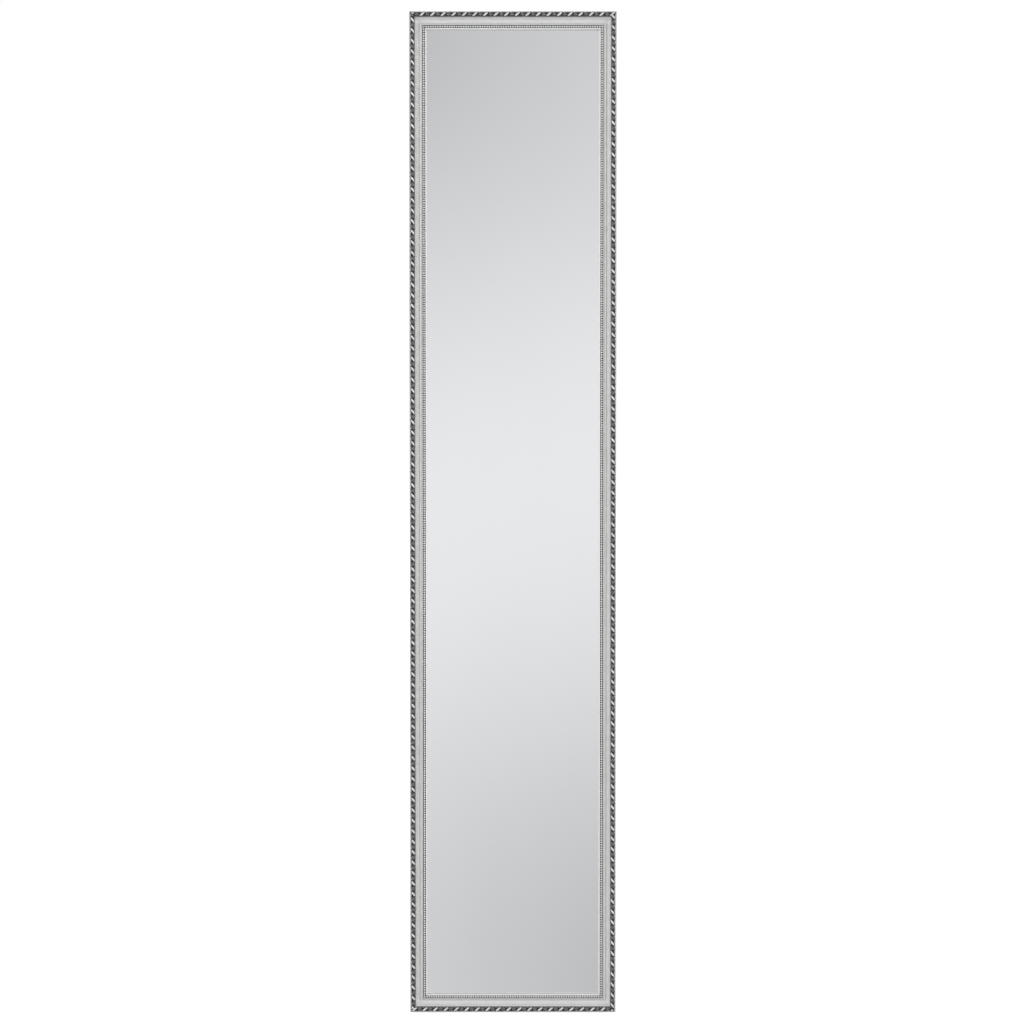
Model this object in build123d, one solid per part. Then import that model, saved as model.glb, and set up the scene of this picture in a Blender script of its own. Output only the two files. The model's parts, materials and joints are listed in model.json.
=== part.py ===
from build123d import *
import os
from math import cos, hypot, radians, sin

# A full-length floor mirror in a carved silver moulding, standing on wedge feet and a hinged strut.
# All sizes are in millimetres and degrees.
# The pieces are drawn with the mirror upright: X to the right, Z up the mirror from its lower edge,
# and Y to the rear from the flat back of the moulding, so that the front faces -Y. The strut is drawn
# folded against the back. The last section opens the strut, leans the mirror back and centres it.

# Overall
FRAME_WIDTH = 330.0
FRAME_HEIGHT = 1600.0
LEAN = 9.0
STRUT_OPENING = 16.0

# Moulding section, from the outer edge inwards, with heights above its flat back
SEAT_WIDTH = 8.9
SEAT_HEIGHT = 17.0
COVE_WIDTH = 6.5
COVE_FLOOR = 6.5
COVE_HOLLOW = 2.1
RISE_WIDTH = 3.6
RISE_SWELL = 0.3
FILLET_WIDTH = 1.5
FILLET_HEIGHT = 14.6
GROOVE_WIDTH = 4.9
GROOVE_FLOOR = 12.7
LIP_WIDTH = 1.4
LIP_HEIGHT = 14.2
RABBET_LEDGE = 7.3
RABBET_DEPTH = 9.6
SECTION_OVERREACH = 1.0

# Applied ornament
ORNAMENT_INSET = 0.2
ORNAMENT_WIDTH = 8.2
ORNAMENT_EDGE = 0.8
PEARL_RADIUS = 1.55

# Glass, backing and what holds them in the rabbet
GLASS_THICKNESS = 3.0
BACKING_THICKNESS = 3.0
GLASS_CLEARANCE = 1.0
BLOCK_LENGTH = 30.0
BLOCK_FROM_CENTRE = 75.0
POINT_WIDTH = 9.0
POINT_LENGTH = 15.0
POINT_THICKNESS = 0.5
POINT_BITE = 6.0
POINT_SPACING = 240.0
POINT_CORNER_MARGIN = 80.0

# V-nails across the back of each mitre
NAIL_LEG = 5.0
NAIL_THICKNESS = 0.5
NAIL_HEIGHT = 7.0
NAIL_FIRST = 2.5
NAIL_STEP = 4.0

# Strut, crossbar and hinge
HINGE_HEIGHT = 1000.0
STRUT_THICKNESS = 11.0
STRUT_TOP_WIDTH = 56.0
STRUT_FOOT_WIDTH = 84.0
STRUT_GAP = 5.0
STRUT_JOINT_GAP = 1.0
BOARD_CHAMFER = 1.0
CROSSBAR_HEIGHT = 50.0
CROSSBAR_INSET = 2.0
HINGE_WIDTH = 50.0
LEAF_HEIGHT = 28.0
LEAF_THICKNESS = 1.5
KNUCKLE_RADIUS = 2.7
KNUCKLE_COUNT = 5
KNUCKLE_GAP = 0.3
LEAF_KNUCKLE_CLEARANCE = 0.5
PIN_RADIUS = 1.5
PIN_RUNNING_CLEARANCE = 0.05
PIN_HEAD_RADIUS = 2.3
PIN_HEAD_LENGTH = 1.0

# Rubber
FOOT_LIFT = 1.6
FOOT_LENGTH = 40.0
FOOT_DEPTH = 8.0
FOOT_END_MARGIN = 12.0
CAP_WALL = 1.5
CAP_SOLE = 2.5
CAP_HEIGHT = 16.0
BUTTON_RADIUS = 5.0
BUTTON_CLEARANCE = 0.3
BUTTON_CHAMFER = 0.8
BUTTON_FROM_CENTRE = 28.0
BUTTON_HEIGHT_UP = 12.5

# Limit strap
STRAP_WIDTH = 18.0
STRAP_THICKNESS = 1.0
STRAP_TAB = 14.0
STRAP_RAIL_HEIGHT = 10.0
STRAP_STRUT_HEIGHT = 100.0

# Hanger plates
HANGER_WIDTH = 15.0
HANGER_HEIGHT = 50.0
HANGER_THICKNESS = 1.5
HANGER_CORNER = 3.75
HANGER_FROM_EDGE = 8.0
HANGER_FROM_TOP = 130.0
KEYHOLE_RADIUS = 4.25
KEYHOLE_SLOT_WIDTH = 4.5
KEYHOLE_SLOT_LENGTH = 9.0
POCKET_MARGIN = 0.25
POCKET_DEPTH = 6.0
POCKET_ROUNDING = 0.9
HANGER_SCREW_FROM_END = 6.0

# Screws: diameter, length, head diameter
CROSSBAR_SCREW = (3.5, 28.0, 7.0)
CROSSBAR_SCREW_INSET = 6.0
CROSSBAR_SCREW_MARGIN = 12.0
SMALL_SCREW = (3.0, 10.0, 5.6)
STRAP_SCREW = (3.0, 10.0, 8.0)
LEAF_SCREW_SPREAD = 17.0
LEAF_SCREW_NEAR = 11.0
LEAF_SCREW_FAR = 19.0
ROUND_HEAD_HEIGHT = 1.6
HEAD_SHOULDER_REACH = 0.6
HEAD_SHOULDER_RISE = 0.8
SCREW_TIP_SHARE = 0.25
RECESS_WIDTH = 0.8
RECESS_DEPTH = 1.0
RECESS_SHARE = 0.6

# Places worked out from the sizes above
VALLEY = SEAT_WIDTH + COVE_WIDTH
RISE_TOP = VALLEY + RISE_WIDTH
GROOVE_START = RISE_TOP + FILLET_WIDTH
LIP_START = GROOVE_START + GROOVE_WIDTH
MOULDING_WIDTH = LIP_START + LIP_WIDTH
RABBET_WALL = MOULDING_WIDTH - RABBET_LEDGE
ORNAMENT_RADIUS = ORNAMENT_WIDTH / 2
ORNAMENT_TOP = SEAT_HEIGHT + ORNAMENT_EDGE + ORNAMENT_RADIUS
PEARL_LINE = GROOVE_START + GROOVE_WIDTH / 2
GLASS_EDGE = RABBET_WALL + GLASS_CLEARANCE
GLASS_BACK = RABBET_DEPTH - GLASS_THICKNESS
BACKING_BACK = GLASS_BACK - BACKING_THICKNESS
CROSSBAR_THICKNESS = STRUT_GAP + STRUT_THICKNESS
HINGE_DEPTH = CROSSBAR_THICKNESS + KNUCKLE_RADIUS
CROSSBAR_BOTTOM = HINGE_HEIGHT + STRUT_JOINT_GAP
STRUT_TOP = HINGE_HEIGHT - STRUT_JOINT_GAP
HINGE_ABOVE_FLOOR = FOOT_LIFT + HINGE_HEIGHT * cos(radians(LEAN)) - HINGE_DEPTH * sin(radians(LEAN))
STRUT_REACH = HINGE_ABOVE_FLOOR / cos(radians(STRUT_OPENING - LEAN))
BUTTON_THICKNESS = STRUT_GAP - CAP_WALL - BUTTON_CLEARANCE

FRONT = Vector(0, -1, 0)
REAR = Vector(0, 1, 0)
RIGHT = Vector(1, 0, 0)
UP = Vector(0, 0, 1)

# Each side of the frame starts at a corner and runs along the outer edge, with the section drawn inwards.
SIDES = {
    "left": (Vector(-FRAME_WIDTH / 2, 0, FRAME_HEIGHT), RIGHT, -UP, FRAME_HEIGHT),
    "bottom": (Vector(-FRAME_WIDTH / 2, 0, 0), UP, RIGHT, FRAME_WIDTH),
    "right": (Vector(FRAME_WIDTH / 2, 0, 0), -RIGHT, UP, FRAME_HEIGHT),
    "top": (Vector(FRAME_WIDTH / 2, 0, FRAME_HEIGHT), -UP, -RIGHT, FRAME_WIDTH),
}


def block(x_range, y_range, z_range):
    """A box between two values on each axis."""
    size = [high - low for low, high in (x_range, y_range, z_range)]
    centre = [(high + low) / 2 for low, high in (x_range, y_range, z_range)]
    return Pos(*centre) * Box(*size)


def mirrored_pair(shape):
    """The shape and its mirror image across the middle of the frame."""
    return [shape, mirror(shape, about=Plane.YZ)]


def section_on(side, section):
    """A section with x inwards and y to the front, run along one side and mitred at both ends."""
    corner, inward, along, length = SIDES[side]
    start = Plane(origin=corner, x_dir=inward, z_dir=along)
    run = extrude(start * section, amount=length, dir=along)
    flat = Plane(origin=corner, x_dir=along, z_dir=FRONT)
    deep = MOULDING_WIDTH
    mitre = Polygon((0, 0), (length, 0), (length - deep, deep), (deep, deep), align=None)
    return run & extrude(flat * mitre, amount=ORNAMENT_TOP + SECTION_OVERREACH, both=True)


# Moulding


def moulding_section():
    """Seat of the carved roll, cove, rise, fillet, pearl groove and lip, with the rabbet behind."""
    outline = [
        Polyline((VALLEY, 0), (0, 0), (0, SEAT_HEIGHT), (SEAT_WIDTH, SEAT_HEIGHT)),
        SagittaArc((SEAT_WIDTH, SEAT_HEIGHT), (VALLEY, COVE_FLOOR), -COVE_HOLLOW),
        SagittaArc((VALLEY, COVE_FLOOR), (RISE_TOP, FILLET_HEIGHT), RISE_SWELL),
        Polyline(
            (RISE_TOP, FILLET_HEIGHT),
            (GROOVE_START, FILLET_HEIGHT),
            (GROOVE_START, GROOVE_FLOOR),
            (LIP_START, GROOVE_FLOOR),
            (LIP_START, LIP_HEIGHT),
            (MOULDING_WIDTH, LIP_HEIGHT),
            (MOULDING_WIDTH, RABBET_DEPTH),
            (RABBET_WALL, RABBET_DEPTH),
            (RABBET_WALL, 0),
            (VALLEY, 0),
        ),
    ]
    return make_face(Curve() + outline)


def ornament_section():
    """The roll that carries the carved leaves: a half round on a short straight edge."""
    left, right = ORNAMENT_INSET, ORNAMENT_INSET + ORNAMENT_WIDTH
    spring = SEAT_HEIGHT + ORNAMENT_EDGE
    outline = [
        Polyline((right, spring), (right, SEAT_HEIGHT), (left, SEAT_HEIGHT), (left, spring)),
        ThreePointArc((left, spring), ((left + right) / 2, ORNAMENT_TOP), (right, spring)),
    ]
    return make_face(Curve() + outline)


def beading_section():
    """The half-round beading in the groove, which is carved into a row of pearls."""
    left, right = PEARL_LINE - PEARL_RADIUS, PEARL_LINE + PEARL_RADIUS
    outline = [
        Line((right, GROOVE_FLOOR), (left, GROOVE_FLOOR)),
        ThreePointArc((left, GROOVE_FLOOR), (PEARL_LINE, GROOVE_FLOOR + PEARL_RADIUS), (right, GROOVE_FLOOR)),
    ]
    return make_face(Curve() + outline)


# Fasteners


def screw_body(size):
    """A countersunk wood screw along -Z, with the top of its head at the origin."""
    diameter, length, head_diameter = size
    shank, head = diameter / 2, head_diameter / 2
    tip = length * (1 - SCREW_TIP_SHARE)
    half = Polygon((0, 0), (head, 0), (shank, shank - head), (shank, -tip), (0, -length), align=None)
    return revolve(Plane.XZ * half, Axis.Z, 360)


def round_screw_body(size):
    """A low round-headed wood screw along -Z, with the underside of its head at the origin."""
    diameter, length, head_diameter = size
    shank, head = diameter / 2, head_diameter / 2
    tip = length * (1 - SCREW_TIP_SHARE)
    shoulder = (head * HEAD_SHOULDER_REACH, ROUND_HEAD_HEIGHT * HEAD_SHOULDER_RISE)
    outline = [
        ThreePointArc((0, ROUND_HEAD_HEIGHT), shoulder, (head, 0)),
        Polyline((head, 0), (shank, 0), (shank, -tip), (0, -length), (0, ROUND_HEAD_HEIGHT)),
    ]
    return revolve(Plane.XZ * make_face(Curve() + outline), Axis.Z, 360)


def recess(size, top):
    """The cross slot in a screw head."""
    reach = size[2] * RECESS_SHARE
    across = Box(reach, RECESS_WIDTH, 2 * RECESS_DEPTH)
    along = Box(RECESS_WIDTH, reach, 2 * RECESS_DEPTH)
    return Pos(0, 0, top) * (across + along)


def facing(x, y, z, direction):
    """A place at x, y, z whose own Z points along direction."""
    return Plane(origin=(x, y, z), x_dir=(1, 0, 0), z_dir=direction)


def screws(places, size):
    """Countersunk screws and the holes that they fill."""
    holes = [place * screw_body(size) for place in places]
    bodies = [place * (screw_body(size) - recess(size, 0)) for place in places]
    return bodies, holes


def round_screw(place, size):
    """One round-headed screw and the hole that its shank fills."""
    body = place * round_screw_body(size)
    return [body - place * recess(size, ROUND_HEAD_HEIGHT)], [body]


def corner_nails():
    """Two V-nails driven into the back across each mitre, one leg in each side."""
    nails = []
    for x_side in (-1, 1):
        for z_side in (-1, 1):
            for i in range(2):
                start = NAIL_FIRST + i * NAIL_STEP
                legs = block((0, NAIL_LEG), (-NAIL_HEIGHT, 0), (0, NAIL_THICKNESS))
                legs += block((0, NAIL_THICKNESS), (-NAIL_HEIGHT, 0), (0, NAIL_LEG))
                nail = Pos(-FRAME_WIDTH / 2 + start, 0, start) * legs
                if x_side > 0:
                    nail = mirror(nail, about=Plane.YZ)
                if z_side > 0:
                    nail = mirror(nail, about=Plane.XY.offset(FRAME_HEIGHT / 2))
                nails.append(nail)
    return nails


def spaced(length):
    """Places along a side, from one corner margin to the other, no further apart than the spacing."""
    run = length - 2 * POINT_CORNER_MARGIN
    steps = max(1, -int(-run // POINT_SPACING))
    return [POINT_CORNER_MARGIN + run * i / steps for i in range(steps + 1)]


def backing_points():
    """Flexible steel points pressed into the rabbet wall, flat on the back of the backing board."""
    points = []
    for corner, inward, along, length in SIDES.values():
        for place in spaced(length):
            middle = RABBET_WALL - POINT_BITE + POINT_LENGTH / 2
            depth = BACKING_BACK - POINT_THICKNESS / 2
            centre = corner + along * place + inward * middle + FRONT * depth
            frame = Plane(origin=centre, x_dir=inward, z_dir=FRONT)
            points.append(frame * Box(POINT_LENGTH, POINT_WIDTH, POINT_THICKNESS))
    return points


# Glass and backing


def pane(front, thickness):
    """A sheet in the rabbet with its front face at a height above the moulding's back."""
    half_width = FRAME_WIDTH / 2 - GLASS_EDGE
    heights = (GLASS_EDGE, FRAME_HEIGHT - GLASS_EDGE)
    return block((-half_width, half_width), (-front, thickness - front), heights)


def setting_blocks():
    """Rubber blocks under the glass and backing, on the bottom rabbet wall."""
    start = BLOCK_FROM_CENTRE - BLOCK_LENGTH / 2
    one = block((start, start + BLOCK_LENGTH), (-RABBET_DEPTH, -BACKING_BACK), (RABBET_WALL, GLASS_EDGE))
    return mirrored_pair(one)


# Crossbar, hinge and strut


def crossbar_blank():
    half = FRAME_WIDTH / 2 - CROSSBAR_INSET
    heights = (CROSSBAR_BOTTOM, CROSSBAR_BOTTOM + CROSSBAR_HEIGHT)
    bar = block((-half, half), (0, CROSSBAR_THICKNESS), heights)
    return chamfer(bar.edges().filter_by(Axis.X).group_by(Axis.Y)[-1], BOARD_CHAMFER)


def crossbar_screw_places():
    x = FRAME_WIDTH / 2 - CROSSBAR_INSET - CROSSBAR_SCREW_INSET
    low = CROSSBAR_BOTTOM + CROSSBAR_SCREW_MARGIN
    high = CROSSBAR_BOTTOM + CROSSBAR_HEIGHT - CROSSBAR_SCREW_MARGIN
    return [facing(s * x, CROSSBAR_THICKNESS, z, REAR) for s in (-1, 1) for z in (low, high)]


def leaf_screw_places(way):
    """Three screws in a zigzag, above the hinge line (way 1) or below it (way -1)."""
    rear = CROSSBAR_THICKNESS + LEAF_THICKNESS
    spots = [
        (-LEAF_SCREW_SPREAD, LEAF_SCREW_NEAR),
        (0, LEAF_SCREW_FAR),
        (LEAF_SCREW_SPREAD, LEAF_SCREW_NEAR),
    ]
    return [facing(x, rear, HINGE_HEIGHT + way * offset, REAR) for x, offset in spots]


def hinge_leaf(way, first_knuckle, bore_radius, holes):
    """One leaf with every second knuckle, above the hinge line (way 1) or below it (way -1)."""
    depths = (CROSSBAR_THICKNESS, CROSSBAR_THICKNESS + LEAF_THICKNESS)
    start = KNUCKLE_RADIUS + LEAF_KNUCKLE_CLEARANCE
    half = HINGE_WIDTH / 2
    heights = sorted((HINGE_HEIGHT + way * start, HINGE_HEIGHT + way * LEAF_HEIGHT))
    leaf = block((-half, half), depths, heights)
    knuckle = (HINGE_WIDTH - (KNUCKLE_COUNT - 1) * KNUCKLE_GAP) / KNUCKLE_COUNT
    for i in range(first_knuckle, KNUCKLE_COUNT, 2):
        left = -half + i * (knuckle + KNUCKLE_GAP)
        tab_heights = sorted((HINGE_HEIGHT, HINGE_HEIGHT + way * start))
        leaf += block((left, left + knuckle), depths, tab_heights)
        barrel = Plane(origin=(left, HINGE_DEPTH, HINGE_HEIGHT), z_dir=RIGHT) * Cylinder(
            KNUCKLE_RADIUS, knuckle, align=(Align.CENTER, Align.CENTER, Align.MIN)
        )
        leaf += barrel
    bore = Plane(origin=(0, HINGE_DEPTH, HINGE_HEIGHT), z_dir=RIGHT) * Cylinder(bore_radius, 2 * HINGE_WIDTH)
    return leaf - bore - holes


def hinge_pin():
    """The pin, with a peened head at each end."""
    across = Plane(origin=(0, HINGE_DEPTH, HINGE_HEIGHT), z_dir=RIGHT)
    pin = Cylinder(PIN_RADIUS, HINGE_WIDTH)
    for side in (-1, 1):
        head = Cylinder(PIN_HEAD_RADIUS, PIN_HEAD_LENGTH)
        pin += Pos(0, 0, side * (HINGE_WIDTH + PIN_HEAD_LENGTH) / 2) * head
    return across * pin


def strut_bar(grow, top):
    """The strut's tapered board, grown on its faces and sides, from a height down past the floor."""
    bottom = HINGE_HEIGHT - STRUT_REACH - CAP_HEIGHT
    slope = (STRUT_FOOT_WIDTH - STRUT_TOP_WIDTH) / 2 / (STRUT_TOP - bottom)
    top_half = STRUT_TOP_WIDTH / 2 + slope * (STRUT_TOP - top) + grow
    foot_half = STRUT_FOOT_WIDTH / 2 + grow
    outline = Polygon((-foot_half, bottom), (foot_half, bottom), (top_half, top), (-top_half, top), align=None)
    rear = Plane(origin=(0, CROSSBAR_THICKNESS + grow, 0), x_dir=RIGHT, z_dir=FRONT)
    return extrude(rear * outline, amount=STRUT_THICKNESS + 2 * grow, dir=FRONT)


def strut_blank():
    bar = strut_bar(0, STRUT_TOP)
    return chamfer(bar.edges().filter_by(Axis.X, reverse=True).filter_by(Axis.Y, reverse=True), BOARD_CHAMFER)


# Strap


def opened(y, z):
    """Where a point of the folded strut goes when the strut is open."""
    turn = radians(STRUT_OPENING)
    dy, dz = y - HINGE_DEPTH, z - HINGE_HEIGHT
    return HINGE_DEPTH + dy * cos(turn) - dz * sin(turn), HINGE_HEIGHT + dy * sin(turn) + dz * cos(turn)


def strap_route():
    """The strap's middle line, as y and z: a tab on the bottom side, the taut run, a tab on the strut."""
    on_rail = STRAP_THICKNESS / 2
    on_strut = STRUT_GAP - STRAP_THICKNESS / 2
    half = STRAP_TAB / 2
    return [
        (on_rail, STRAP_RAIL_HEIGHT - half),
        (on_rail, STRAP_RAIL_HEIGHT + half),
        opened(on_strut, STRAP_STRUT_HEIGHT - half),
        opened(on_strut, STRAP_STRUT_HEIGHT + half),
    ]


def band(route, thickness, side):
    """The route moved sideways by half the thickness, with mitred corners."""
    unit = []
    for (y0, z0), (y1, z1) in zip(route, route[1:]):
        length = hypot(y1 - y0, z1 - z0)
        unit.append(((y1 - y0) / length, (z1 - z0) / length))
    moved = []
    for i, (y, z) in enumerate(route):
        before = unit[max(i - 1, 0)]
        after = unit[min(i, len(unit) - 1)]
        ny, nz = before[1] + after[1], -before[0] - after[0]
        scale = side * thickness / (ny**2 + nz**2)
        moved.append((y + ny * scale, z + nz * scale))
    return moved


def limit_strap():
    route = strap_route()
    outline = band(route, STRAP_THICKNESS, 1) + band(route, STRAP_THICKNESS, -1)[::-1]
    section = Plane(origin=(-STRAP_WIDTH / 2, 0, 0), x_dir=REAR, z_dir=RIGHT) * Polygon(*outline, align=None)
    return extrude(section, amount=STRAP_WIDTH, dir=RIGHT)


# Rubber


def wedge_foot():
    """A rubber foot under the right end of the bottom side, still running down past the floor."""
    right = FRAME_WIDTH / 2 - FOOT_END_MARGIN
    return block((right - FOOT_LENGTH, right), (-FOOT_DEPTH, 0), (-FOOT_LIFT - FOOT_DEPTH, 0))


def rest_buttons():
    """Rubber buttons on the bottom side that the folded strut comes to."""
    button = Cylinder(BUTTON_RADIUS, BUTTON_THICKNESS, align=(Align.CENTER, Align.CENTER, Align.MIN))
    button = chamfer(button.edges().group_by(Axis.Z)[-1], BUTTON_CHAMFER)
    return mirrored_pair(facing(BUTTON_FROM_CENTRE, 0, BUTTON_HEIGHT_UP, REAR) * button)


# Hangers


def hanger_parts():
    """The right hanger plate, the pocket behind its keyhole, and its screws and their holes."""
    x = FRAME_WIDTH / 2 - HANGER_FROM_EDGE
    z = FRAME_HEIGHT - HANGER_FROM_TOP
    half_width, half_height = HANGER_WIDTH / 2, HANGER_HEIGHT / 2
    plate = block((x - half_width, x + half_width), (0, HANGER_THICKNESS), (z - half_height, z + half_height))
    plate = fillet(plate.edges().filter_by(Axis.Y), HANGER_CORNER)
    spread = half_height - HANGER_SCREW_FROM_END
    places = [facing(x, HANGER_THICKNESS, z + s * spread, REAR) for s in (-1, 1)]
    bodies, holes = screws(places, SMALL_SCREW)
    slot_heights = (z - KEYHOLE_SLOT_LENGTH / 2, z + KEYHOLE_SLOT_LENGTH / 2)
    slot_half = KEYHOLE_SLOT_WIDTH / 2
    through = 4 * HANGER_THICKNESS
    keyhole = facing(x, 0, slot_heights[0], REAR) * Cylinder(KEYHOLE_RADIUS, through)
    keyhole += facing(x, 0, slot_heights[1], REAR) * Cylinder(slot_half, through)
    keyhole += block((x - slot_half, x + slot_half), (-HANGER_THICKNESS, 2 * HANGER_THICKNESS), slot_heights)
    pocket_half = KEYHOLE_RADIUS + POCKET_MARGIN
    pocket_heights = (slot_heights[0] - pocket_half, slot_heights[1] + pocket_half)
    pocket = block((x - pocket_half, x + pocket_half), (-POCKET_DEPTH, 0), pocket_heights)
    pocket = fillet(pocket.edges().filter_by(Axis.Y), pocket_half * POCKET_ROUNDING)
    return plate - keyhole - holes, pocket, bodies, holes


# Assembly, upright and folded


nails = corner_nails()
points = backing_points()
crossbar_screws, crossbar_holes = screws(crossbar_screw_places(), CROSSBAR_SCREW)
fixed_screws, fixed_holes = screws(leaf_screw_places(1), SMALL_SCREW)
strut_screws, strut_holes = screws(leaf_screw_places(-1), SMALL_SCREW)
hanger_plate, hanger_pocket, hanger_screws, hanger_holes = hanger_parts()
rail_screw, rail_hole = round_screw(facing(0, STRAP_THICKNESS, STRAP_RAIL_HEIGHT, REAR), STRAP_SCREW)
strap_face = STRUT_GAP - STRAP_THICKNESS
strap_screw, strap_hole = round_screw(facing(0, strap_face, STRAP_STRUT_HEIGHT, FRONT), STRAP_SCREW)

hangers = [shape for part in [hanger_pocket, *hanger_holes] for shape in mirrored_pair(part)]
driven = {
    "left": crossbar_holes + hangers,
    "right": crossbar_holes + hangers,
    "bottom": rail_hole,
    "top": [],
}

fixed = {}
for name in SIDES:
    cutters = nails + points + driven[name]
    fixed[name + "_moulding"] = [section_on(name, moulding_section()) - cutters]
    fixed[name + "_leaf_ornament"] = [section_on(name, ornament_section())]
    fixed[name + "_pearl_beading"] = [section_on(name, beading_section())]
fixed["corner_v_nails"] = nails
fixed["mirror_glass"] = [pane(RABBET_DEPTH, GLASS_THICKNESS)]
fixed["backing_board"] = [pane(GLASS_BACK, BACKING_THICKNESS)]
fixed["glass_setting_blocks"] = setting_blocks()
fixed["backing_points"] = points
fixed["crossbar"] = [crossbar_blank() - crossbar_holes - fixed_holes]
fixed["crossbar_screws"] = crossbar_screws
fixed["hinge_fixed_leaf"] = [hinge_leaf(1, 0, PIN_RADIUS, fixed_holes)]
fixed["hinge_fixed_screws"] = fixed_screws
fixed["hinge_pin"] = [hinge_pin()]
fixed["strap_rail_screw"] = rail_screw
fixed["strut_rest_buttons"] = rest_buttons()
fixed["left_hanger_plate"] = [mirror(hanger_plate, about=Plane.YZ)]
fixed["right_hanger_plate"] = [hanger_plate]
fixed["hanger_screws"] = [shape for screw in hanger_screws for shape in mirrored_pair(screw)]

moving_bore = PIN_RADIUS + PIN_RUNNING_CLEARANCE
moving = {
    "strut_board": [strut_blank() - strut_holes - strap_hole],
    "hinge_moving_leaf": [hinge_leaf(-1, 1, moving_bore, strut_holes)],
    "hinge_strut_screws": strut_screws,
    "strap_strut_screw": strap_screw,
}


# Standing: the strut opens about the hinge pin and the mirror leans back


def stand(shape):
    return Pos(0, 0, FOOT_LIFT) * Rot(-LEAN, 0, 0) * shape


def open_strut(shape):
    hinge = Pos(0, HINGE_DEPTH, HINGE_HEIGHT)
    return hinge * Rot(STRUT_OPENING, 0, 0) * Pos(0, -HINGE_DEPTH, -HINGE_HEIGHT) * shape


def above_floor(shape, low, high):
    """What lies between two heights above the floor."""
    reach = FRAME_WIDTH + FRAME_HEIGHT
    return shape & block((-reach, reach), (-reach, reach), (low, high))


standing = {name: [stand(shape) for shape in shapes] for name, shapes in fixed.items()}
standing |= {name: [stand(open_strut(shape)) for shape in shapes] for name, shapes in moving.items()}

board = standing["strut_board"][0]
standing["strut_board"] = [above_floor(board, CAP_SOLE, FRAME_HEIGHT)]
cap = stand(open_strut(strut_bar(CAP_WALL, HINGE_HEIGHT - STRUT_REACH + 2 * CAP_HEIGHT)))
standing["strut_foot_cap"] = [above_floor(cap, 0, CAP_HEIGHT) - standing["strut_board"][0]]

strap_cut = [stand(rail_hole[0]), stand(open_strut(strap_hole[0]))]
standing["limit_strap"] = [stand(limit_strap()) - strap_cut]

right_foot = stand(wedge_foot())
for name, foot in zip(("right_wedge_foot", "left_wedge_foot"), mirrored_pair(right_foot)):
    standing[name] = [above_floor(foot, 0, FRAME_HEIGHT)]

# The origin is on the floor, midway between the furthest front and rear.
ends = [shape.bounding_box() for shapes in standing.values() for shape in shapes]
middle = (min(box.min.Y for box in ends) + max(box.max.Y for box in ends)) / 2

for name, shapes in standing.items():
    solids = [solid for shape in shapes for solid in (Pos(0, -middle, 0) * shape).solids()]
    export_step(solids[0] if len(solids) == 1 else Compound(children=solids), f"parts/{name}.step")

strap_length = sum(hypot(b[0] - a[0], b[1] - a[1]) for a, b in zip(strap_route(), strap_route()[1:]))
print("shift to the rear", -middle, "strap length", strap_length, "strut reach", STRUT_REACH)
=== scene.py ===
import json
import math

import bmesh
import bpy
import numpy as np
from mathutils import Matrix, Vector


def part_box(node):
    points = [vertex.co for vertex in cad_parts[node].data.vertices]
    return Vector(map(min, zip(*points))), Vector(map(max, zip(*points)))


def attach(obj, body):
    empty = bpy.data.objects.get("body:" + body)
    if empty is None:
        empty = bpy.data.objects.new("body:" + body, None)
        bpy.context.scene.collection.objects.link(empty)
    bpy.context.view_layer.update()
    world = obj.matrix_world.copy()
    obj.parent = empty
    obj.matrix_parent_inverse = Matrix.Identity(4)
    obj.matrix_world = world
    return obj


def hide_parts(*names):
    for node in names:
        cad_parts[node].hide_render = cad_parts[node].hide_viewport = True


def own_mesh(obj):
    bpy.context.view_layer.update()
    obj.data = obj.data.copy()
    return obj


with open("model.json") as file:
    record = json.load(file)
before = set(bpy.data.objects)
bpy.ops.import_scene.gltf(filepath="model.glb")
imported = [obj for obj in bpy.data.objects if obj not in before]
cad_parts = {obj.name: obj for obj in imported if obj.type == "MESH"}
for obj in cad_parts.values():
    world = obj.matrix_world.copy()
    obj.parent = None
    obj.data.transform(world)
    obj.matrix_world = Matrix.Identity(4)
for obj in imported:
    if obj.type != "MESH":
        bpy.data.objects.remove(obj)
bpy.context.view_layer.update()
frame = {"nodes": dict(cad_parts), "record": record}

# The leaning mirror's own frame, in millimetres: X right, Z up the mirror from its lower edge, Y to the rear
MM = 0.001
FRAME_WIDTH = 330.0
FRAME_HEIGHT = 1600.0
SEAT_HEIGHT = 17.0
keyhole = next(m for m in frame["record"]["mounts"] if m["name"] == "left_keyhole")
LEAN = math.atan2(-keyhole["axis"][2], keyhole["axis"][1])
corner_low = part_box("left_moulding")[0]
ORIGIN = Vector((0, corner_low.y + SEAT_HEIGHT * MM * math.cos(LEAN), corner_low.z))
UP = Vector((0, math.sin(LEAN), math.cos(LEAN)))
NORMAL = Vector((0, -math.cos(LEAN), math.sin(LEAN)))
HINGE_DEPTH = 18.7
HINGE_HEIGHT = 1000.0
STRUT_OPENING = math.radians(16)


def to_world(points):
    """Points of the mirror's own frame, in millimetres, as metres in the shared frame."""
    points = np.asarray(points, float)
    world = np.empty_like(points)
    world[:, 0] = points[:, 0]
    world[:, 1] = points[:, 1] * math.cos(LEAN) + points[:, 2] * math.sin(LEAN)
    world[:, 2] = -points[:, 1] * math.sin(LEAN) + points[:, 2] * math.cos(LEAN)
    return world * MM + np.array(ORIGIN)


def smoothstep(t):
    t = np.clip(t, 0, 1)
    return t * t * (3 - 2 * t)


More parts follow.
